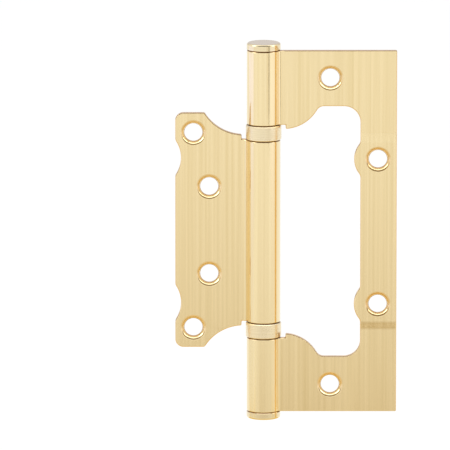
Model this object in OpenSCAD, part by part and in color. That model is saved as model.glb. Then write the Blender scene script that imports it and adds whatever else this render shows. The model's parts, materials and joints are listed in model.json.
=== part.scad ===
// Non-mortise hinge: a frame-shaped outer leaf and a smaller inner leaf that
// nests in its window, joined by a pin that runs on two thrust ball bearings.
// Millimetres. Z runs along the pin, the countersunk side faces -Y, the outer
// leaf lies towards +X. The origin is on the pin axis, halfway up. The leaves
// lie open flat. Seen from the front, the outer sheet stands before the plane
// of the axis and the inner sheet behind it by as much, so the folded leaves
// lie in one plane.

/* [Leaves] */
// Length of the outer leaf along the pin
leaf_len = 125; // [104:1:200]
// Thickness of the sheet
leaf_t = 2.5; // [2:0.1:3.2]
// Distance of the middle of each sheet from the plane of the pin axis
leaf_offset = 1.25; // [0.5:0.05:1.5]
// Reach of the outer leaf from the pin axis
outer_reach = 45.3; // [43:0.1:70]
// Width of the strip that closes the window
strip_w = 12.4; // [10.5:0.1:15]
// Width of the band at each end of the window
end_band_w = 19.1; // [17:0.1:24]
// Gap between the nested leaves along straight edges
nest_gap = 2.8; // [2:0.1:3.5]
// Gap between the nested leaves round a lobe
arc_gap = 2.4; // [2:0.1:3.2]
// Gap between the nested leaves round a boss
recess_gap = 2.6; // [2:0.1:3.2]

/* [Lobes, bosses and corners] */
// Radius of the lobe beside each end knuckle
lobe_r = 13.1; // [12:0.1:14]
// Distance of the lobe's centre from the end of the leaf
lobe_in = 13.9; // [13:0.1:15]
// Distance of the lobe's centre outside the barrel
lobe_out = 1.05; // [0.5:0.05:2]
// Fillet between the lobe and the window edge
lobe_fillet_r = 2.8; // [1:0.1:4]
// Radius of the boss round each far hole
boss_r = 8.15; // [7.6:0.05:9]
// Fillet between a boss and the strip
boss_fillet_r = 2.5; // [1:0.1:3.5]
// Corner radius of the window
window_corner_r = 5.6; // [2:0.1:6]
// Outer corner radius of the inner leaf's ears
ear_corner_r = 2.8; // [1:0.1:3]
// Rounding where an ear meets the curve over it
ear_tip_r = 1; // [0.5:0.1:2]
// Rounding at the mouth of each recess of the inner leaf
recess_round_r = 2.5; // [1:0.1:3]

/* [Screw holes] */
// Diameter of the holes
hole_d = 6.2; // [5:0.1:7]
// Diameter of the countersinks
sink_d = 8.3; // [7.5:0.1:9.5]
// Width of the dished lip round a countersink
lip_w = 0.3; // [0.2:0.05:0.8]
// Depth of the dished lip
lip_drop = 0.1; // [0.05:0.05:0.3]
// Distance of the near holes from the end of the outer leaf
near_hole_in = 9.4; // [8:0.1:11]
// Distance of the far holes from the end of the outer leaf
far_hole_in = 37.4; // [35:0.1:40]
// Distance of the far holes from the outer edge
far_hole_edge = 6.4; // [5.8:0.1:7]
// Distance of the ear holes from the top of the ear
ear_hole_in = 6.8; // [6:0.1:8]
// Distance of the ear holes from the inner leaf's edge
ear_hole_edge = 6.2; // [5.5:0.1:7]
// Distance of the middle holes from the inner leaf's edge
mid_hole_edge = 11.6; // [10:0.1:13]
// Spacing of the middle holes
mid_hole_gap = 30.2; // [20:0.1:36]

/* [Pressed step of the strip] */
// Height of the step that lifts the middle of the strip
step_h = 0.3; // [0.1:0.05:0.5]
// Length over which the step rises
step_w = 3.2; // [2:0.1:4]
// Distance from the far hole's centre to the top of the step
step_out = 5.8; // [5.2:0.1:7]

/* [Knuckles and pin] */
// Diameter of the pin
pin_d = 6.4; // [5:0.1:8]
// Running clearance round the pin, on the radius
pin_gap = 0.05; // [0.02:0.01:0.1]
// Length of each end knuckle
end_knuckle_len = 25.55; // [20:0.05:31]
// Inside radius of the bend between leaf and knuckle
bend_r = 1.8; // [1:0.1:2.5]
// Seam between the rolled edge and the leaf
seam_gap = 0.35; // [0.2:0.05:0.8]
// Width of the relief notch beside the barrel
notch_w = 1.75; // [1:0.05:2.5]

/* [Caps] */
// Height of a cap
cap_h = 2.5; // [1.5:0.1:4]
// How far a cap stands outside the barrel
cap_proud = 0.05; // [0:0.05:0.3]
// Rounding of a cap's edge
cap_round = 0.7; // [0.2:0.1:1.4]
// Length of the spigot that is pressed into the knuckle
spigot_len = 4; // [2:0.1:8]
// Clearance round the spigot, on the radius
spigot_gap = 0.01; // [0:0.01:0.03]
// End play of the pin between the spigots
pin_play = 0.4; // [0.1:0.1:1]

/* [Bearings] */
// Height of a bearing between two knuckles
bearing_h = 5.45; // [4.8:0.05:7]
// Number of balls in a bearing
ball_count = 12; // [8:1:12]
// Diameter of a ball
ball_d = 1.5; // [1.2:0.05:1.6]
// How far the case stands outside the barrel
case_proud = 0.3; // [0:0.05:0.4]
// Wall of the case
case_wall = 0.4; // [0.3:0.05:0.45]
// Gap left between the case and a knuckle
case_set = 0.2; // [0.1:0.05:0.3]

/* [Hidden] */
$fn = 96;

// Overrun of every cut, and the lap of pieces that are joined
cut = 1;

// Barrel
pin_r = pin_d / 2;
bore_r = pin_r + pin_gap;
knuckle_r = bore_r + leaf_t;
roll_r = bore_r + leaf_t / 2;
bend_mid_r = bend_r + leaf_t / 2;
bend_out_r = bend_r + leaf_t;
centre_len = leaf_len - 2 * (end_knuckle_len + bearing_h);
end_knuckle_z = leaf_len / 2 - end_knuckle_len;
notch_x = knuckle_r + notch_w;

// The bend's centre lies this far from the axis: its curves bite a hair into
// those of the roll, and the roll laps past the line of centres by the angle
// at which both of its faces are inside the bend
bend_bite = 0.01;
bend_centre_r = roll_r + bend_mid_r - bend_bite;
outside_bite = sqrt(2 * bend_bite * bend_r / (knuckle_r * bend_centre_r));
inside_bite = sqrt(2 * bend_bite * bend_out_r / (bore_r * bend_centre_r));
roll_lap = (outside_bite + inside_bite) / 2 * 180 / PI;

// The rolled edge stops one seam short of the bend's outer face. Both are
// angles about the axis, the first from the line of centres
seam_touch = acos(
    (pow(knuckle_r, 2) + pow(bend_centre_r, 2) - pow(bend_out_r, 2))
    / (2 * knuckle_r * bend_centre_r)
);
seam_angle = seam_gap / knuckle_r * 180 / PI;

// Every rounding bites this far into the curve that it runs into
curve_bite = 0.001;

// Window of the outer leaf, and the holes and curves that the leaves share
window_x = outer_reach - strip_w;
window_z = leaf_len / 2 - end_band_w;
lobe_at = [knuckle_r + lobe_out, leaf_len / 2 - lobe_in];
far_hole_at = [outer_reach - far_hole_edge, leaf_len / 2 - far_hole_in];
near_hole_at = [outer_reach / 2, leaf_len / 2 - near_hole_in];
lobe_fillet_z = window_z - lobe_fillet_r;
lobe_fillet_x = lobe_at.x
    + away(lobe_r + lobe_fillet_r - curve_bite, lobe_at.y - lobe_fillet_z);
boss_fillet_x = window_x - boss_fillet_r;
boss_fillet_dz = away(boss_r + boss_fillet_r - curve_bite, far_hole_at.x - boss_fillet_x);

// Inner leaf, drawn towards +X as it lies when it nests
inner_reach = window_x - nest_gap;
ear_z = window_z - nest_gap;
over_r = lobe_r + arc_gap;
recess_r = boss_r + recess_gap;
ear_hole_at = [inner_reach - ear_hole_edge, ear_z - ear_hole_in];
mid_hole_at = [inner_reach - mid_hole_edge, mid_hole_gap / 2];
ear_tip_z = ear_z - ear_tip_r;
ear_tip_x = lobe_at.x + away(over_r + ear_tip_r - curve_bite, lobe_at.y - ear_tip_z);
recess_round_x = inner_reach - recess_round_r;
recess_round_dz = away(recess_r + recess_round_r - curve_bite,
    far_hole_at.x - recess_round_x);

// Step of the strip, and the line where its sheet laps the rest of the leaf
split_x = (far_hole_at.x - boss_r + lobe_fillet_x) / 2;
step_top = far_hole_at.y + step_out;
step_foot = step_top + step_w;
step_parts = 8;

// Caps
cap_r = knuckle_r + cap_proud;
spigot_r = bore_r - spigot_gap;
edge_break = 0.3;
pin_foot = -leaf_len / 2 + spigot_len;
pin_head = leaf_len / 2 - spigot_len - pin_play;

// Bearings, drawn about their middle with the end knuckle on top
bearing_z = centre_len / 2 + bearing_h / 2;
half_h = bearing_h / 2;
case_r = knuckle_r + case_proud;
case_in_r = case_r - case_wall;
case_half_h = half_h - case_set;
lip_t = 0.4;
lip_in = 0.45;
race_play = 0.1;
ball_play = 0.03;
race_bore_r = pin_r + 2 * pin_gap;
neck_r = case_in_r - lip_in - race_play;
race_gap = ball_d * 2 / 3;
pitch_r = (race_bore_r + case_in_r) / 2;
cage_t = race_gap / 2;
cage_w = case_in_r - race_bore_r - 2 * race_play;
pocket_play = 0.06;

leaf_color = "#ecd9a8";
edge_color = "#e2c583";
turned_color = "#e8d3a0";
bearing_color = "#dfc68f";
steel_color = "#c3c6ca";

// Other leg of a right triangle with this long side and this leg
function away(long_side, leg) = sqrt(pow(long_side, 2) - pow(leg, 2));

// Share of a smooth rise, from 0 at its foot to 1 at its top
function ease_share(u) = (1 - cos(180 * u)) / 2;

module both_ends() {
    children();
    mirror([0, 1]) children();
}

// Flat shape with round holes or discs placed by their centres
module disc_at(place, radius) {
    translate(place) circle(radius);
}

// Web between a disc and a straight edge, hollowed by a rolling circle:
// the disc's centre, the circle's centre and its foot on the edge bound it
module rolled_web(disc_centre, roller_centre, foot, radius) {
    difference() {
        polygon([disc_centre, roller_centre, foot]);
        disc_at(roller_centre, radius);
    }
}

// Square corner hollowed by a circle, lapping the two edges that it joins
module corner_web(roller_centre, radius) {
    difference() {
        translate(roller_centre) square(radius + cut);
        disc_at(roller_centre, radius);
    }
}

// Half of a slab across the barrel, from the axis side to the notch
module barrel_band(z_low, z_high) {
    translate([-knuckle_r - cut, z_low])
        square([knuckle_r + cut + notch_x, z_high - z_low]);
}

// Lobe, boss and fillets of one end of the outer leaf's window
module window_edge() {
    disc_at(lobe_at, lobe_r);
    rolled_web(lobe_at, [lobe_fillet_x, lobe_fillet_z],
        [lobe_fillet_x, window_z + cut], lobe_fillet_r);
    disc_at(far_hole_at, boss_r);
    for (side = [-1, 1])
        rolled_web(far_hole_at,
            [boss_fillet_x, far_hole_at.y + side * boss_fillet_dz],
            [window_x + cut, far_hole_at.y + side * boss_fillet_dz], boss_fillet_r);
    corner_web([window_x - window_corner_r, window_z - window_corner_r],
        window_corner_r);
    barrel_band(end_knuckle_z, window_z + cut);
}

// Outline of the outer leaf, across X and Z
module outer_outline() {
    difference() {
        union() {
            difference() {
                translate([-knuckle_r - cut, -leaf_len / 2])
                    square([knuckle_r + cut + outer_reach, leaf_len]);
                translate([-knuckle_r - 2 * cut, -window_z])
                    square([knuckle_r + 2 * cut + window_x, 2 * window_z]);
            }
            both_ends() window_edge();
        }
        barrel_band(-end_knuckle_z, end_knuckle_z);
    }
}

// What is cut from one end of the inner leaf
module ear_cuts() {
    disc_at(lobe_at, over_r);
    rolled_web(lobe_at, [ear_tip_x, ear_tip_z], [ear_tip_x, ear_z + cut], ear_tip_r);
    disc_at(far_hole_at, recess_r);
    for (side = [-1, 1])
        rolled_web(far_hole_at,
            [recess_round_x, far_hole_at.y + side * recess_round_dz],
            [inner_reach + cut, far_hole_at.y + side * recess_round_dz], recess_round_r);
    corner_web([inner_reach - ear_corner_r, ear_z - ear_corner_r], ear_corner_r);
    barrel_band(centre_len / 2, ear_z + cut);
}

// Outline of the inner leaf, across X and Z
module inner_outline() {
    difference() {
        translate([-knuckle_r - cut, -ear_z])
            square([knuckle_r + cut + inner_reach, 2 * ear_z]);
        both_ends() ear_cuts();
    }
}

// Wedge with its point at the origin, between two directions
module wedge(from_angle, to_angle, reach) {
    polygon([[0, 0], reach * [cos(from_angle), sin(from_angle)],
        reach * [cos(to_angle), sin(to_angle)]]);
}

module ring_2d(inner_r, outer_r) {
    difference() {
        circle(outer_r);
        circle(inner_r);
    }
}

// Section of a leaf across X and Y, with the middle of its sheet at sheet_y:
// the sheet bends to the front and rolls round the pin, over the front and the
// far side, to a seam at the back
module leaf_section(sheet_y, reach) {
    bend_y = sheet_y - bend_mid_r;
    bend_x = away(bend_centre_r, bend_y);
    roll_start = asin(-bend_y / bend_centre_r);
    difference() {
        union() {
            difference() {
                circle(knuckle_r);
                wedge(roll_lap - roll_start, seam_touch - roll_start + seam_angle,
                    2 * knuckle_r);
            }
            translate([bend_x, bend_y]) intersection() {
                ring_2d(bend_r, bend_out_r);
                wedge(90, 180 - roll_start, 2 * bend_out_r);
            }
            translate([bend_x, sheet_y - leaf_t / 2]) square([reach - bend_x, leaf_t]);
        }
        circle(bore_r);
    }
}

// Extrudes a section along the pin, past both ends of the leaf
module along_pin() {
    linear_extrude(height = leaf_len + 2 * cut, center = true) children();
}

// Turns a shape drawn in X and Z into a slab through the leaf
module through_leaf() {
    rotate([90, 0, 0])
        linear_extrude(height = 4 * knuckle_r, center = true) children();
}

// Front line of the strip, as Y against Z, from one end to the other
function strip_front(share_sign) = [for (i = [0 : step_parts])
    let (u = share_sign > 0 ? i / step_parts : 1 - i / step_parts)
    [-step_h * ease_share(u), share_sign * (-step_foot + u * step_w)]];

// Sheet of the strip, from the split to the outer edge, with the pressed step
module strip_sheet() {
    line = concat([[0, -leaf_len / 2 - cut]], strip_front(1), strip_front(-1),
        [[0, leaf_len / 2 + cut]]);
    count = len(line);
    translate([split_x, -leaf_offset, 0]) rotate([90, 0, 90])
        linear_extrude(height = outer_reach - split_x)
            polygon(concat(
                [for (i = [0 : count - 1]) line[i] - [leaf_t / 2, 0]],
                [for (i = [0 : count - 1]) line[count - 1 - i] + [leaf_t / 2, 0]]
            ));
}

// Hole with its countersink and dished lip, down from a front face at Y
module screw_hole(place, front_y) {
    sink_drop = lip_drop + (sink_d - hole_d) / 2;
    lip_r = sink_d / 2 + lip_w;
    translate([place.x, front_y, place.y]) rotate([-90, 0, 0]) rotate_extrude()
        polygon([
            [0, -cut], [lip_r, -cut], [lip_r, 0], [sink_d / 2, lip_drop],
            [hole_d / 2, sink_drop], [hole_d / 2, leaf_t + cut], [0, leaf_t + cut]
        ]);
}

module outer_leaf() {
    front_y = -leaf_offset - leaf_t / 2;
    color(leaf_color) difference() {
        union() {
            intersection() {
                along_pin() leaf_section(-leaf_offset, split_x + cut);
                through_leaf() outer_outline();
            }
            intersection() {
                strip_sheet();
                through_leaf() outer_outline();
            }
        }
        for (side = [-1, 1]) {
            screw_hole([near_hole_at.x, side * near_hole_at.y], front_y);
            screw_hole([far_hole_at.x, side * far_hole_at.y], front_y - step_h);
        }
    }
}

module inner_leaf() {
    front_y = leaf_offset - leaf_t / 2;
    color(leaf_color) mirror([1, 0, 0]) difference() {
        intersection() {
            along_pin() leaf_section(leaf_offset, inner_reach);
            through_leaf() inner_outline();
        }
        for (side = [-1, 1]) {
            screw_hole([ear_hole_at.x, side * ear_hole_at.y], front_y);
            screw_hole([mid_hole_at.x, side * mid_hole_at.y], front_y);
        }
    }
}

module pin() {
    color(steel_color) rotate_extrude() polygon([
        [0, pin_foot], [pin_r - edge_break, pin_foot], [pin_r, pin_foot + edge_break],
        [pin_r, pin_head - edge_break], [pin_r - edge_break, pin_head], [0, pin_head]
    ]);
}

// Cap with its underside at the origin and its spigot below
module cap() {
    rotate_extrude() {
        square([cap_r - cap_round, cap_h]);
        translate([0, edge_break]) square([cap_r, cap_h - cap_round - edge_break]);
        polygon([[0, 0], [cap_r - edge_break, 0], [cap_r, edge_break], [0, edge_break]]);
        intersection() {
            disc_at([cap_r - cap_round, cap_h - cap_round], cap_round);
            translate([cap_r - cap_round, cap_h - cap_round]) square(cap_round);
        }
        translate([0, -spigot_len]) square([spigot_r, spigot_len]);
    }
}

module top_cap() {
    color(turned_color) translate([0, 0, leaf_len / 2]) cap();
}

module bottom_cap() {
    color(turned_color) mirror([0, 0, 1]) translate([0, 0, leaf_len / 2]) cap();
}

// Puts a bearing piece in its place, over or under the centre knuckle
module in_bearing(side) {
    mirror([0, 0, side == "upper" ? 0 : 1]) translate([0, 0, bearing_z]) children();
}

// Case, with a lip turned in over each race and broken outer edges
module bearing_case(side) {
    color(bearing_color) in_bearing(side) rotate_extrude() polygon([
        [case_in_r - lip_in, -case_half_h], [case_r - edge_break, -case_half_h],
        [case_r, -case_half_h + edge_break], [case_r, case_half_h - edge_break],
        [case_r - edge_break, case_half_h], [case_in_r - lip_in, case_half_h],
        [case_in_r - lip_in, case_half_h - lip_t], [case_in_r, case_half_h - lip_t],
        [case_in_r, -case_half_h + lip_t], [case_in_r - lip_in, -case_half_h + lip_t]
    ]);
}

// Race above the balls: a washer with a neck inside the case's lip, a flange
// below the lip and a groove that the balls run in
module race(flange_r, flange_top) {
    rotate_extrude() difference() {
        polygon([
            [race_bore_r, race_gap / 2], [flange_r, race_gap / 2],
            [flange_r, flange_top], [neck_r, flange_top],
            [neck_r, half_h], [race_bore_r, half_h]
        ]);
        disc_at([pitch_r, 0], ball_d / 2 + ball_play);
    }
}

// Race on the end knuckle, held by the case
module fixed_race(side) {
    color(steel_color) in_bearing(side) race(case_in_r, case_half_h - lip_t);
}

// Race on the centre knuckle, which turns inside the case
module turning_race(side) {
    color(steel_color) in_bearing(side) mirror([0, 0, 1])
        race(case_in_r - race_play, case_half_h - lip_t - race_play);
}

// Ring that keeps the balls apart
module cage(side) {
    color(edge_color) in_bearing(side) difference() {
        linear_extrude(height = cage_t, center = true)
            ring_2d(pitch_r - cage_w / 2, pitch_r + cage_w / 2);
        for (i = [1 : ball_count])
            rotate(360 * i / ball_count) translate([pitch_r, 0, 0])
                cylinder(h = 2 * ball_d, r = ball_d / 2 + pocket_play, center = true);
    }
}

module ball(side, i) {
    color(steel_color) in_bearing(side)
        rotate(360 * i / ball_count) translate([pitch_r, 0, 0]) sphere(d = ball_d);
}

outer_leaf();
inner_leaf();
pin();
top_cap();
bottom_cap();
for (side = ["upper", "lower"]) {
    bearing_case(side);
    fixed_race(side);
    turning_race(side);
    cage(side);
    for (i = [1 : ball_count])
        ball(side, i);
}
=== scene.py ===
"""Looks of the non-mortise hinge: finishes, softened edges, light and camera.

Metres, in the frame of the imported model: Z runs along the pin, the
countersunk side faces -Y and the outer leaf lies towards +X.
"""
import json
from math import cos, radians, sin

import bpy
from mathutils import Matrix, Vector

MM = 0.001
UPWARDS = (0, 0, 1)
DOWNWARDS = (0, 0, -1)
FORWARDS = (0, -1, 0)

# Camera: a long lens, level across and a little above the hinge
CAMERA_ELEVATION = 11.0
CAMERA_DISTANCE = 3.2
FRAME_WIDTH = 153.3 * MM
FRAME_CENTRE = Vector((-13.14 * MM, 0, 1.87 * MM))
SENSOR_WIDTH = 36

# Sheet
SHEET_T = 2.5 * MM
SHEET_EDGE_R = 0.38 * MM
ROUNDED_ANGLE = 50  # edges that turn by more degrees than this are rounded
COUNTERSINK_FACING = 0.707  # how far a 45-degree cone faces the front

# Barrel: its radius, and how far up and down its seams lie
BARREL_R = 5.75 * MM
END_KNUCKLE_Z = 36.95 * MM
CENTRE_KNUCKLE_Z = 31.5 * MM
BARREL_END_Z = 62.5 * MM
SEAM_HEIGHTS = (END_KNUCKLE_Z, CENTRE_KNUCKLE_Z, BARREL_END_Z)
# Widths of the painted shade in the seams of the barrel, on the sheet and on the turned
# parts
SHEET_SEAM_SHADE_W = 0.25 * MM
TURNED_SEAM_SHADE_W = 0.30 * MM

# Tones of the plated sheet
HAIRLINE_DARK = (0.815, 0.645, 0.335)
HAIRLINE_LIGHT = (0.935, 0.765, 0.44)
BAND = (0.90, 0.735, 0.43)
BAND_SHARE = 0.35
# Painted sheen: the barrel is painted lighter
PAINTED_BARREL_SHEEN = (1.0, 0.85, 0.52)
PAINTED_SHEEN_SHARE = 0.25
BLANKED_DARK = (0.66, 0.37, 0.10)
BLANKED_LIGHT = (0.76, 0.46, 0.16)
# Painted shade on the rounded rims of the sheet; darker still on rims that face up the
# pin
PAINTED_ROUNDING_SHADE = (0.86, 0.62, 0.33)
UPWARD_PAINTED_ROUNDING_SHADE = (0.26, 0.15, 0.04)
# Painted shade in the seams of the barrel
PAINTED_SEAM_SHADE = (0.26, 0.10, 0.01)

# Floor, and the cards that lie below the hinge
FLOOR_DROP = 0.30
FLOOR_SIZE = 8
LOW_CARD_Z = -0.165
LOW_CARD_WIDTH = 0.9
FRONT_CARD_Y = -0.75
FRONT_CARD_ASIDE = 1.6  # how much sooner the front card fades to the sides
FRONT_CARD_EVEN = 0.25  # distance from the pin at which it starts to fade
FRONT_CARD_FADE = 0.4

# Cards that stand beside the hinge
SIDE_CARD_DISTANCE = 0.6
SIDE_CARD_Z = -0.12
SIDE_CARD_HEIGHT = 0.16
SLIM_CARD_TOP = 0.30


# Node helpers

def new_node(tree, kind, **settings):
    node = tree.nodes.new(kind)
    for key, value in settings.items():
        setattr(node, key, value)
    return node


def feed(tree, socket, value):
    """Gives a socket a number, a colour or the output of another node."""
    if isinstance(value, (int, float)):
        socket.default_value = value
    elif isinstance(value, tuple):
        socket.default_value = (*value, 1)
    else:
        tree.links.new(value, socket)


def feed_all(tree, node, values):
    for label, value in values.items():
        feed(tree, node.inputs[label], value)


def math_node(tree, operation, *values, clamp=False):
    """A Math node fed by outputs or numbers; returns its output."""
    node = new_node(tree, "ShaderNodeMath", operation=operation, use_clamp=clamp)
    for socket, value in zip(node.inputs, values):
        feed(tree, socket, value)
    return node.outputs[0]


def size_of(tree, value):
    """The value without its sign."""
    return math_node(tree, "ABSOLUTE", value)


def product(tree, first, second):
    return math_node(tree, "MULTIPLY", first, second)


def rest_of(tree, share):
    """What a share leaves of 1."""
    return math_node(tree, "SUBTRACT", 1, share)


def hypotenuse(tree, first, second):
    """The long side of a right triangle with these two legs."""
    squares = math_node(tree, "ADD", product(tree, first, first),
                        product(tree, second, second))
    return math_node(tree, "SQRT", squares)


def ramp_between(tree, value, low, high):
    """0 below low, 1 above high, smooth between."""
    node = new_node(tree, "ShaderNodeMapRange", interpolation_type="SMOOTHSTEP")
    feed_all(tree, node, {"Value": value, "From Min": low, "From Max": high})
    return node.outputs["Result"]


def spread_between(tree, value, low, high):
    """Turns a value of 0 to 1 into low to high."""
    node = new_node(tree, "ShaderNodeMapRange")
    feed_all(tree, node, {"Value": value, "To Min": low, "To Max": high})
    return node.outputs["Result"]


def mix_values(tree, share, first, second):
    node = new_node(tree, "ShaderNodeMix", data_type="FLOAT")
    feed_all(tree, node, {0: share, 2: first, 3: second})
    return node.outputs[0]


def mix_colours(tree, share, first, second):
    node = new_node(tree, "ShaderNodeMix", data_type="RGBA")
    feed_all(tree, node, {0: share, 6: first, 7: second})
    return node.outputs[2]


def split_xyz(tree, vector):
    """The X, Y and Z of a vector."""
    node = new_node(tree, "ShaderNodeSeparateXYZ")
    feed(tree, node.inputs[0], vector)
    return list(node.outputs)


def surface_place(tree):
    """The Texture Coordinate node's outputs, by name."""
    return new_node(tree, "ShaderNodeTexCoord").outputs


def noise_value(tree, values, **settings):
    node = new_node(tree, "ShaderNodeTexNoise", **settings)
    feed_all(tree, node, values)
    return node.outputs[0]


def group_tree(name, inputs, outputs):
    """An empty node group; inputs are (name, kind, value) and outputs names."""
    tree = bpy.data.node_groups.new(name, "ShaderNodeTree")
    for label, kind, value in inputs:
        socket = tree.interface.new_socket(
            name=label, in_out="INPUT", socket_type=kind)
        if value is not None:
            socket.default_value = value
    for label in outputs:
        tree.interface.new_socket(
            name=label, in_out="OUTPUT", socket_type="NodeSocketFloat")
    start = new_node(tree, "NodeGroupInput")
    end = new_node(tree, "NodeGroupOutput")
    return tree, start, end


def place_group(tree, group, values):
    """Puts a node group into a material; returns its outputs, by name."""
    node = new_node(tree, "ShaderNodeGroup", node_tree=group)
    feed_all(tree, node, values)
    return node.outputs


# Effects that several finishes share

def build_brushed_grain():
    """Streaks that run along Z: hairlines, and broad bands of tone."""
    tree, start, end = group_tree(
        "brushed_grain",
        [("Place", "NodeSocketVector", None),
         ("Lines per Metre", "NodeSocketFloat", 4000.0),
         ("Stretch", "NodeSocketFloat", 60.0)],
        ["Hairlines", "Bands"])
    place = split_xyz(tree, start.outputs["Place"])
    pitch = start.outputs["Lines per Metre"]
    along = math_node(tree, "DIVIDE", pitch, start.outputs["Stretch"])
    for label, share, detail in (("Hairlines", 1, 3), ("Bands", 0.16, 2)):
        across = product(tree, pitch, share)
        down = product(tree, along, share)
        squeezed = new_node(tree, "ShaderNodeCombineXYZ")
        for socket, part, scale in zip(squeezed.inputs, place, (across, across, down)):
            feed(tree, socket, product(tree, part, scale))
        streaks = noise_value(
            tree, {"Scale": 1, "Detail": detail, "Vector": squeezed.outputs[0]},
            label=label)
        feed(tree, end.inputs[label], ramp_between(tree, streaks, 0.25, 0.75))
    return tree


def build_turned_marks():
    """Fine rings about Z, as a lathe tool leaves them on faces and sides."""
    tree, start, end = group_tree(
        "turned_marks",
        [("Place", "NodeSocketVector", None),
         ("Rings per Metre", "NodeSocketFloat", 5000.0)],
        ["Rings"])
    x, y, z = split_xyz(tree, start.outputs["Place"])
    travel = math_node(tree, "ADD", hypotenuse(tree, x, y), z)
    count = product(tree, travel, start.outputs["Rings per Metre"])
    rings = noise_value(tree, {"Scale": 1, "Detail": 3, "W": count},
                        noise_dimensions="1D")
    feed(tree, end.inputs["Rings"], ramp_between(tree, rings, 0.25, 0.75))
    return tree


def build_fine_speckle():
    """Small pits and clouds of tone, as plating shows close up."""
    tree, start, end = group_tree(
        "fine_speckle",
        [("Place", "NodeSocketVector", None),
         ("Grains per Metre", "NodeSocketFloat", 3500.0)],
        ["Pits", "Clouds"])
    for label, share, low, high in (("Pits", 1, 0.55, 0.75), ("Clouds", 0.06, 0.3, 0.7)):
        scale = product(tree, start.outputs["Grains per Metre"], share)
        grains = noise_value(
            tree, {"Scale": scale, "Detail": 2, "Vector": start.outputs["Place"]},
            label=label)
        feed(tree, end.inputs[label], ramp_between(tree, grains, low, high))
    return tree


def build_painted_seam_shade():
    """1 in a thin ring about Z at a given height up and down, where shade is
    painted in the seams of the barrel; 0 off the barrel."""
    tree, start, end = group_tree(
        "painted_seam_shade",
        [("Place", "NodeSocketVector", None),
         ("Height", "NodeSocketFloat", 0.03),
         ("Width", "NodeSocketFloat", 0.0002)],
        ["Grease"])
    x, y, z = split_xyz(tree, start.outputs["Place"])
    away = size_of(tree, math_node(
        tree, "SUBTRACT", size_of(tree, z), start.outputs["Height"]))
    near = math_node(
        tree, "SUBTRACT", 1,
        math_node(tree, "DIVIDE", away, start.outputs["Width"]), clamp=True)
    on_barrel = math_node(tree, "LESS_THAN", hypotenuse(tree, x, y), BARREL_R + 0.4 * MM)
    feed(tree, end.inputs["Grease"],
         product(tree, math_node(tree, "SQRT", near), on_barrel))
    return tree


# Finishes

def new_material(name, shader_kind):
    """A material with one shader; returns it, its tree and the shader."""
    material = bpy.data.materials.new(name)
    material.use_nodes = True
    tree = material.node_tree
    tree.nodes.clear()
    shader = new_node(tree, shader_kind)
    output = new_node(tree, "ShaderNodeOutputMaterial")
    feed(tree, output.inputs["Surface"], shader.outputs[0])
    return material, tree, shader


def new_finish(name):
    material, tree, shader = new_material(name, "ShaderNodeBsdfPrincipled")
    shader.inputs["Metallic"].default_value = 1
    return material, tree, shader


def add_bump(tree, shader, height, distance, strength):
    bump = new_node(tree, "ShaderNodeBump")
    feed_all(tree, bump, {"Distance": distance, "Strength": strength, "Height": height})
    feed(tree, shader.inputs["Normal"], bump.outputs[0])


def with_painted_seam_shade(tree, place, groups, colour, width):
    """The colour with painted shade, a dark line, in each seam of the barrel."""
    for height in SEAM_HEIGHTS:
        seam = place_group(tree, groups["grease"],
                           {"Place": place, "Height": height, "Width": width})
        # Painted shade darkens each seam
        colour = mix_colours(tree, seam["Grease"], colour, PAINTED_SEAM_SHADE)
    return colour


def beyond_barrel(tree, x, low, high):
    """0 nearer than low to the barrel's side, 1 farther than high."""
    return ramp_between(tree, size_of(tree, x), BARREL_R + low, BARREL_R + high)


def blanked_edge_mask(tree, where, turned):
    """1 on the blanked edges of the sheet: they face neither front nor back
    and lie off the barrel, or they face along the pin."""
    facing = size_of(tree, turned[1])
    sideways = rest_of(tree, ramp_between(tree, facing, 0.36, 0.60))
    off_barrel = beyond_barrel(tree, where[0], 0.5 * MM, 1.5 * MM)
    along_pin = ramp_between(tree, size_of(tree, turned[2]), 0.4, 0.8)
    return math_node(tree, "MAXIMUM", product(tree, sideways, off_barrel),
                     product(tree, sideways, along_pin))


def rounding_shade_mask(tree, where, turned):
    """1 on the roundings between the faces of the sheet and its blanked edges,
    where the surface leans and lies near a face, off the bend and not in a
    countersink: where shade is painted on the rims."""
    facing = size_of(tree, turned[1])
    leaning = rest_of(tree, ramp_between(tree, facing, 0.89, 0.94))
    on_countersink = math_node(tree, "COMPARE", facing, COUNTERSINK_FACING, 0.035)
    from_middle = size_of(tree, math_node(
        tree, "SUBTRACT", size_of(tree, where[1]), SHEET_T / 2))
    rim_start = SHEET_T / 2 - SHEET_EDGE_R
    near_face = ramp_between(tree, from_middle, rim_start, rim_start + 0.08 * MM)
    off_bend = beyond_barrel(tree, where[0], 1.0 * MM, 1.5 * MM)
    return product(tree, product(tree, leaning, near_face),
                   product(tree, off_bend, rest_of(tree, on_countersink)))


def with_painted_rim_shade(tree, where, turned, plated):
    """The colour with painted shade on the rims, darker still on those that
    face up the pin."""
    # Painted shade, darker where the rim faces up the pin
    tone = mix_colours(tree, ramp_between(tree, turned[2], 0.12, 0.35), PAINTED_ROUNDING_SHADE, UPWARD_PAINTED_ROUNDING_SHADE)
    return mix_colours(tree, rounding_shade_mask(tree, where, turned), plated, tone)


def plated_colour(tree, grain, where):
    """Hairlines and bands of tone, with a painted sheen that lightens the barrel."""
    hairline = mix_colours(tree, grain["Hairlines"], HAIRLINE_DARK, HAIRLINE_LIGHT)
    banded = mix_colours(tree, product(tree, grain["Bands"], BAND_SHARE), hairline, BAND)
    # Painted sheen, lighter on the barrel
    painted_sheen_area = math_node(tree, "LESS_THAN", hypotenuse(tree, where[0], where[1]),
                        BARREL_R + 0.05 * MM)
    return mix_colours(tree, product(tree, painted_sheen_area, PAINTED_SHEEN_SHARE), banded, PAINTED_BARREL_SHEEN)


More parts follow.
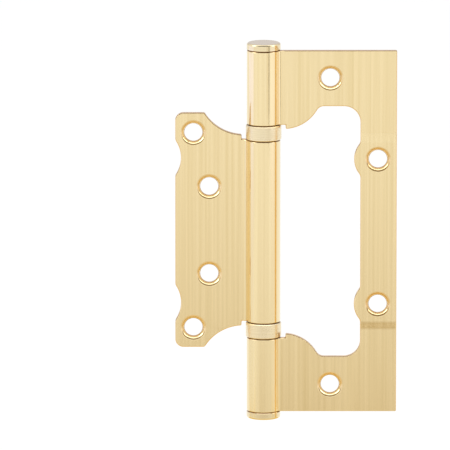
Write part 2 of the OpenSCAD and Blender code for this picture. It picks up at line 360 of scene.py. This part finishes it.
def plated_sheet_finish(groups):
    """Pale gold plate on brushed sheet, with warmer and rougher blanked edges."""
    material, tree, shader = new_finish("plated_brushed_sheet")
    outputs = surface_place(tree)
    place = outputs["Object"]
    where, turned = split_xyz(tree, place), split_xyz(tree, outputs["Normal"])
    grain = place_group(tree, groups["grain"],
                        {"Place": place, "Lines per Metre": 1000, "Stretch": 120})
    speckle = place_group(tree, groups["speckle"],
                          {"Place": place, "Grains per Metre": 2600})
    blanked = blanked_edge_mask(tree, where, turned)
    edge = mix_colours(tree, speckle["Clouds"], BLANKED_DARK, BLANKED_LIGHT)
    sheet = mix_colours(tree, blanked, plated_colour(tree, grain, where), edge)
    # Painted shade on the rims
    rim_shaded = with_painted_rim_shade(tree, where, turned, sheet)
    satin = spread_between(tree, grain["Hairlines"], 0.10, 0.15)
    torn = spread_between(tree, speckle["Pits"], 0.34, 0.48)
    feed_all(tree, shader, {
        # Painted shade in the seams of the barrel
        "Base Color": with_painted_seam_shade(tree, place, groups, rim_shaded, SHEET_SEAM_SHADE_W),
        "Roughness": mix_values(tree, blanked, satin, torn),
        "Coat Weight": 0.6, "Coat Roughness": 0.12})
    height = math_node(tree, "SUBTRACT", grain["Hairlines"],
                       product(tree, speckle["Pits"], 0.5))
    add_bump(tree, shader, height, distance=0.002 * MM, strength=0.2)
    return material


def turned_finish(name, groups, light, dark, rough, rings, pits, depth, coat=0):
    """A turned piece: lathe rings and fine pits in a warm metal."""
    material, tree, shader = new_finish(name)
    place = surface_place(tree)["Object"]
    marks = place_group(tree, groups["marks"], {"Place": place, "Rings per Metre": rings})
    speckle = place_group(tree, groups["speckle"],
                          {"Place": place, "Grains per Metre": pits})
    ringed = mix_colours(tree, marks["Rings"], dark, light)
    pitted = mix_colours(tree, product(tree, speckle["Pits"], 0.5), ringed, dark)
    feed_all(tree, shader, {
        # Painted shade in the seams of the barrel
        "Base Color": with_painted_seam_shade(tree, place, groups, pitted, TURNED_SEAM_SHADE_W),
        "Roughness": spread_between(tree, speckle["Clouds"], *rough),
        "Coat Weight": coat, "Coat Roughness": 0.10})
    height = math_node(tree, "SUBTRACT", marks["Rings"], speckle["Pits"])
    add_bump(tree, shader, height, distance=depth, strength=0.4)
    return material


def drawn_steel_finish(groups):
    """Bright drawn rod, with a film of grease along its hairlines."""
    material, tree, shader = new_finish("drawn_steel")
    place = surface_place(tree)["Object"]
    grain = place_group(tree, groups["grain"],
                        {"Place": place, "Lines per Metre": 5000, "Stretch": 90})
    feed_all(tree, shader, {
        "Base Color": mix_colours(tree, grain["Hairlines"],
                                  (0.46, 0.45, 0.43), (0.60, 0.60, 0.61)),
        "Roughness": spread_between(tree, grain["Bands"], 0.18, 0.32)})
    add_bump(tree, shader, grain["Hairlines"], distance=0.003 * MM, strength=0.4)
    return material


def build_finishes():
    """Every finish, by the slot of the record that it fills."""
    # The grease group paints shade in the seams of the barrel
    groups = {"grain": build_brushed_grain(), "marks": build_turned_marks(),
              "speckle": build_fine_speckle(), "grease": build_painted_seam_shade()}
    return {
        "leaf_finish": plated_sheet_finish(groups),
        "cap_finish": turned_finish(
            "polished_cap", groups, light=(0.88, 0.75, 0.48), dark=(0.81, 0.67, 0.40),
            rough=(0.10, 0.16), rings=3000, pits=3000, depth=0.002 * MM, coat=0.6),
        "bearing_finish": turned_finish(
            "matte_bearing_case", groups, light=(0.94, 0.82, 0.58),
            dark=(0.82, 0.70, 0.46), rough=(0.26, 0.36), rings=4200, pits=3600,
            depth=0.01 * MM),
        "bearing_steel": turned_finish(
            "ground_steel", groups, light=(0.36, 0.33, 0.30), dark=(0.26, 0.23, 0.20),
            rough=(0.16, 0.26), rings=6000, pits=4000, depth=0.002 * MM),
        "cage_brass": turned_finish(
            "stamped_brass", groups, light=(0.72, 0.56, 0.30), dark=(0.60, 0.44, 0.21),
            rough=(0.22, 0.32), rings=2500, pits=3000, depth=0.004 * MM),
        "pin_steel": drawn_steel_finish(groups)}


def finish_all(nodes, subparts):
    finishes = build_finishes()
    for subpart in subparts:
        slots = nodes[subpart["node"]].data.materials
        slots.clear()
        slots.append(finishes[subpart["material_slot"]])


# Shape

def soften_sheet_edges(leaf):
    """Rounds the sharp edges of a leaf, as blanking and brushing leave them."""
    weld = leaf.modifiers.new("weld", "WELD")
    weld.merge_threshold = 0.001 * MM
    flat = leaf.modifiers.new("one_face_per_plane", "DECIMATE")
    flat.decimate_type = "DISSOLVE"
    flat.angle_limit = radians(0.3)
    bevel = leaf.modifiers.new("edge_rounding", "BEVEL")
    bevel.width = SHEET_EDGE_R
    bevel.segments = 3
    bevel.limit_method = "ANGLE"
    bevel.angle_limit = radians(ROUNDED_ANGLE)
    bevel.use_clamp_overlap = False
    shading = leaf.modifiers.new("flat_faces_stay_flat", "WEIGHTED_NORMAL")
    shading.weight = 90


# Set, light and camera

def plain_card(name, centre, size, facing, material):
    """A flat card at centre, size (wide, high), looking along facing."""
    wide, high = size[0] / 2, size[1] / 2
    mesh = bpy.data.meshes.new(name)
    mesh.from_pydata([(-wide, -high, 0), (wide, -high, 0), (wide, high, 0),
                      (-wide, high, 0)], [], [(0, 1, 2, 3)])
    card = bpy.data.objects.new(name, mesh)
    card.location = centre
    card.rotation_euler = Vector(facing).to_track_quat("Z", "Y").to_euler()
    bpy.context.scene.collection.objects.link(card)
    mesh.materials.append(material)
    return card


def hide_card(card):
    """Leaves a card to be seen in reflections only."""
    card.visible_camera = False
    card.visible_shadow = False
    card.visible_diffuse = False


def matt_card_material(name, colour):
    material, tree, shader = new_material(name, "ShaderNodeBsdfDiffuse")
    feed(tree, shader.inputs["Color"], colour)
    return material


def even_card_material(name, colour):
    """A card that shows exactly this tone, however it is lit."""
    material, tree, glow = new_material(name, "ShaderNodeEmission")
    feed(tree, glow.inputs["Color"], colour)
    return material


def front_card_material(near_colour, far_colour):
    """A tone that fades with the distance from the foot of the hinge, and
    fades sooner to the sides."""
    material, tree, glow = new_material("front_card", "ShaderNodeEmission")
    x, y, _ = split_xyz(tree, surface_place(tree)["Object"])
    aside = product(tree, x, FRONT_CARD_ASIDE)
    # The card's own Y points to the front, so this is the distance from the pin
    ahead = math_node(tree, "SUBTRACT", y, FRONT_CARD_Y)
    beyond = math_node(tree, "SUBTRACT", hypotenuse(tree, aside, ahead),
                       FRONT_CARD_EVEN, clamp=True)
    share = math_node(tree, "POWER", beyond, FRONT_CARD_FADE)
    feed(tree, glow.inputs["Color"], mix_colours(tree, share, near_colour, far_colour))
    return material


def rising_card_material(name, low_colour, high_colour, power):
    """A tone that runs from the card's lower edge to its upper edge."""
    material, tree, glow = new_material(name, "ShaderNodeEmission")
    _, height, _ = split_xyz(tree, surface_place(tree)["Generated"])
    share = math_node(tree, "POWER", height, power)
    feed(tree, glow.inputs["Color"], mix_colours(tree, share, low_colour, high_colour))
    return material


def hidden_card(name, centre, size, facing, colour):
    hide_card(plain_card(name, centre, size, facing, even_card_material(name, colour)))


def low_card(name, y, depth, colour):
    """A card below the hinge that faces up, centred at y and depth deep."""
    hidden_card(name, (0, y, LOW_CARD_Z), (LOW_CARD_WIDTH, depth), UPWARDS, colour)


def beside_hinge(azimuth, distance, z):
    """The centre of a card that stands beside the hinge, and the way it faces."""
    turn = radians(azimuth)
    return ((distance * sin(turn), -distance * cos(turn), z),
            (-sin(turn), cos(turn), 0))


def side_card(name, azimuth, width, low_colour, high_colour, power):
    """A broad card beside the hinge that brightens upwards."""
    centre, facing = beside_hinge(azimuth, SIDE_CARD_DISTANCE, SIDE_CARD_Z)
    hide_card(plain_card(name, centre, (width, SIDE_CARD_HEIGHT), facing,
                         rising_card_material(name, low_colour, high_colour, power)))


def slim_card(name, azimuth, distance, foot_z, width, colour):
    """A tall narrow card beside the hinge."""
    centre, facing = beside_hinge(azimuth, distance, (foot_z + SLIM_CARD_TOP) / 2)
    hidden_card(name, centre, (width, SLIM_CARD_TOP - foot_z), facing, colour)


def soft_lamp(name, centre, size, power):
    """A broad lamp that looks at the middle of the hinge."""
    light = bpy.data.lights.new(name, "AREA")
    light.shape = "RECTANGLE"
    light.size, light.size_y = size
    light.energy = power
    lamp = bpy.data.objects.new(name, light)
    lamp.location = centre
    lamp.rotation_euler = (Vector() - Vector(centre)).to_track_quat("-Z", "Y").to_euler()
    bpy.context.scene.collection.objects.link(lamp)
    lamp.visible_camera = False


def white_tent():
    """An even white all round, which the camera and the metal both see."""
    world = bpy.data.worlds.new("white_tent")
    world.use_nodes = True
    background = world.node_tree.nodes["Background"]
    background.inputs["Color"].default_value = (1, 1, 1, 1)
    background.inputs["Strength"].default_value = 1
    bpy.context.scene.world = world


def build_flat_cards():
    """The floor, and the cards that the sheet mirrors."""
    plain_card("floor", (0, 0, -FLOOR_DROP), (FLOOR_SIZE, FLOOR_SIZE), UPWARDS,
               matt_card_material("pale_floor", (1, 1, 1)))
    hide_card(plain_card(
        "front_card", (0, FRONT_CARD_Y, LOW_CARD_Z), (1.6, 1.0), UPWARDS,
        front_card_material((0.53, 0.405, 0.215), (1.02, 1.02, 1.02))))
    low_card("under_card", y=0.06, depth=0.16, colour=(0.96, 0.74, 0.31))
    low_card("under_front_card", y=-0.13, depth=0.22, colour=(0.90, 0.79, 0.56))
    hidden_card("back_card", (0, 0.40, 0.32), (0.9, 0.44), FORWARDS, (0.72, 0.70, 0.74))
    hidden_card("cap_shade", (0, -0.0075, 0.0665), (0.0088, 0.003), DOWNWARDS,
                (0.03, 0.025, 0.02))


def build_standing_cards():
    """The cards that the barrel mirrors as upright stripes."""
    slim_card("right_front_card", azimuth=26, distance=0.30, foot_z=-0.016,
              width=0.09, colour=(0.90, 0.87, 0.82))
    slim_card("right_front_strip", azimuth=36, distance=0.29, foot_z=-0.016,
              width=0.030, colour=(0.36, 0.31, 0.24))
    slim_card("right_card", azimuth=90.5, distance=0.5, foot_z=-0.30,
              width=0.13, colour=(0.88, 0.58, 0.22))
    side_card("left_side_card", azimuth=-96, width=0.50, low_colour=(0.93, 0.92, 0.90),
              high_colour=(1.18, 1.22, 1.75), power=3)
    side_card("right_side_card", azimuth=64, width=0.335, low_colour=(0.92, 0.90, 0.86),
              high_colour=(1.20, 1.18, 1.30), power=2)


def build_lamps():
    soft_lamp("left_lamp", (-0.62, -0.16, 0.46), size=(0.30, 0.50), power=1.1)
    soft_lamp("right_lamp", (0.62, -0.16, 0.46), size=(0.30, 0.50), power=0.8)
    soft_lamp("top_lamp", (0, -0.12, 0.62), size=(0.80, 0.18), power=0.5)


def build_camera():
    data = bpy.data.cameras.new("camera")
    data.sensor_width = SENSOR_WIDTH
    data.lens = SENSOR_WIDTH * CAMERA_DISTANCE / FRAME_WIDTH
    camera = bpy.data.objects.new("camera", data)
    rise = radians(CAMERA_ELEVATION)
    camera.location = FRAME_CENTRE + CAMERA_DISTANCE * Vector((0, -cos(rise), sin(rise)))
    camera.rotation_euler = (radians(90 - CAMERA_ELEVATION), 0, 0)
    bpy.context.scene.collection.objects.link(camera)
    bpy.context.scene.camera = camera


with open("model.json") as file:
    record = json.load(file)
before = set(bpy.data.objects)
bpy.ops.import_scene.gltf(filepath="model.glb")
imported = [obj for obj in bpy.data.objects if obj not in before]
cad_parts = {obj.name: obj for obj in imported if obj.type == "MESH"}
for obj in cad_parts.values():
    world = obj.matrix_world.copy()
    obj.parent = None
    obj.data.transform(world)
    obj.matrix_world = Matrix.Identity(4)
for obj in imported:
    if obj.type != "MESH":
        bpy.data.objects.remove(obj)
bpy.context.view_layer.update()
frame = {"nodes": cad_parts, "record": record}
bpy.context.scene.view_settings.view_transform = "Standard"
build_camera()
finish_all(frame["nodes"], frame["record"]["subparts"])
for leaf_name in ("outer_leaf", "inner_leaf"):
    soften_sheet_edges(frame["nodes"][leaf_name])
white_tent()
build_flat_cards()
build_standing_cards()
build_lamps()
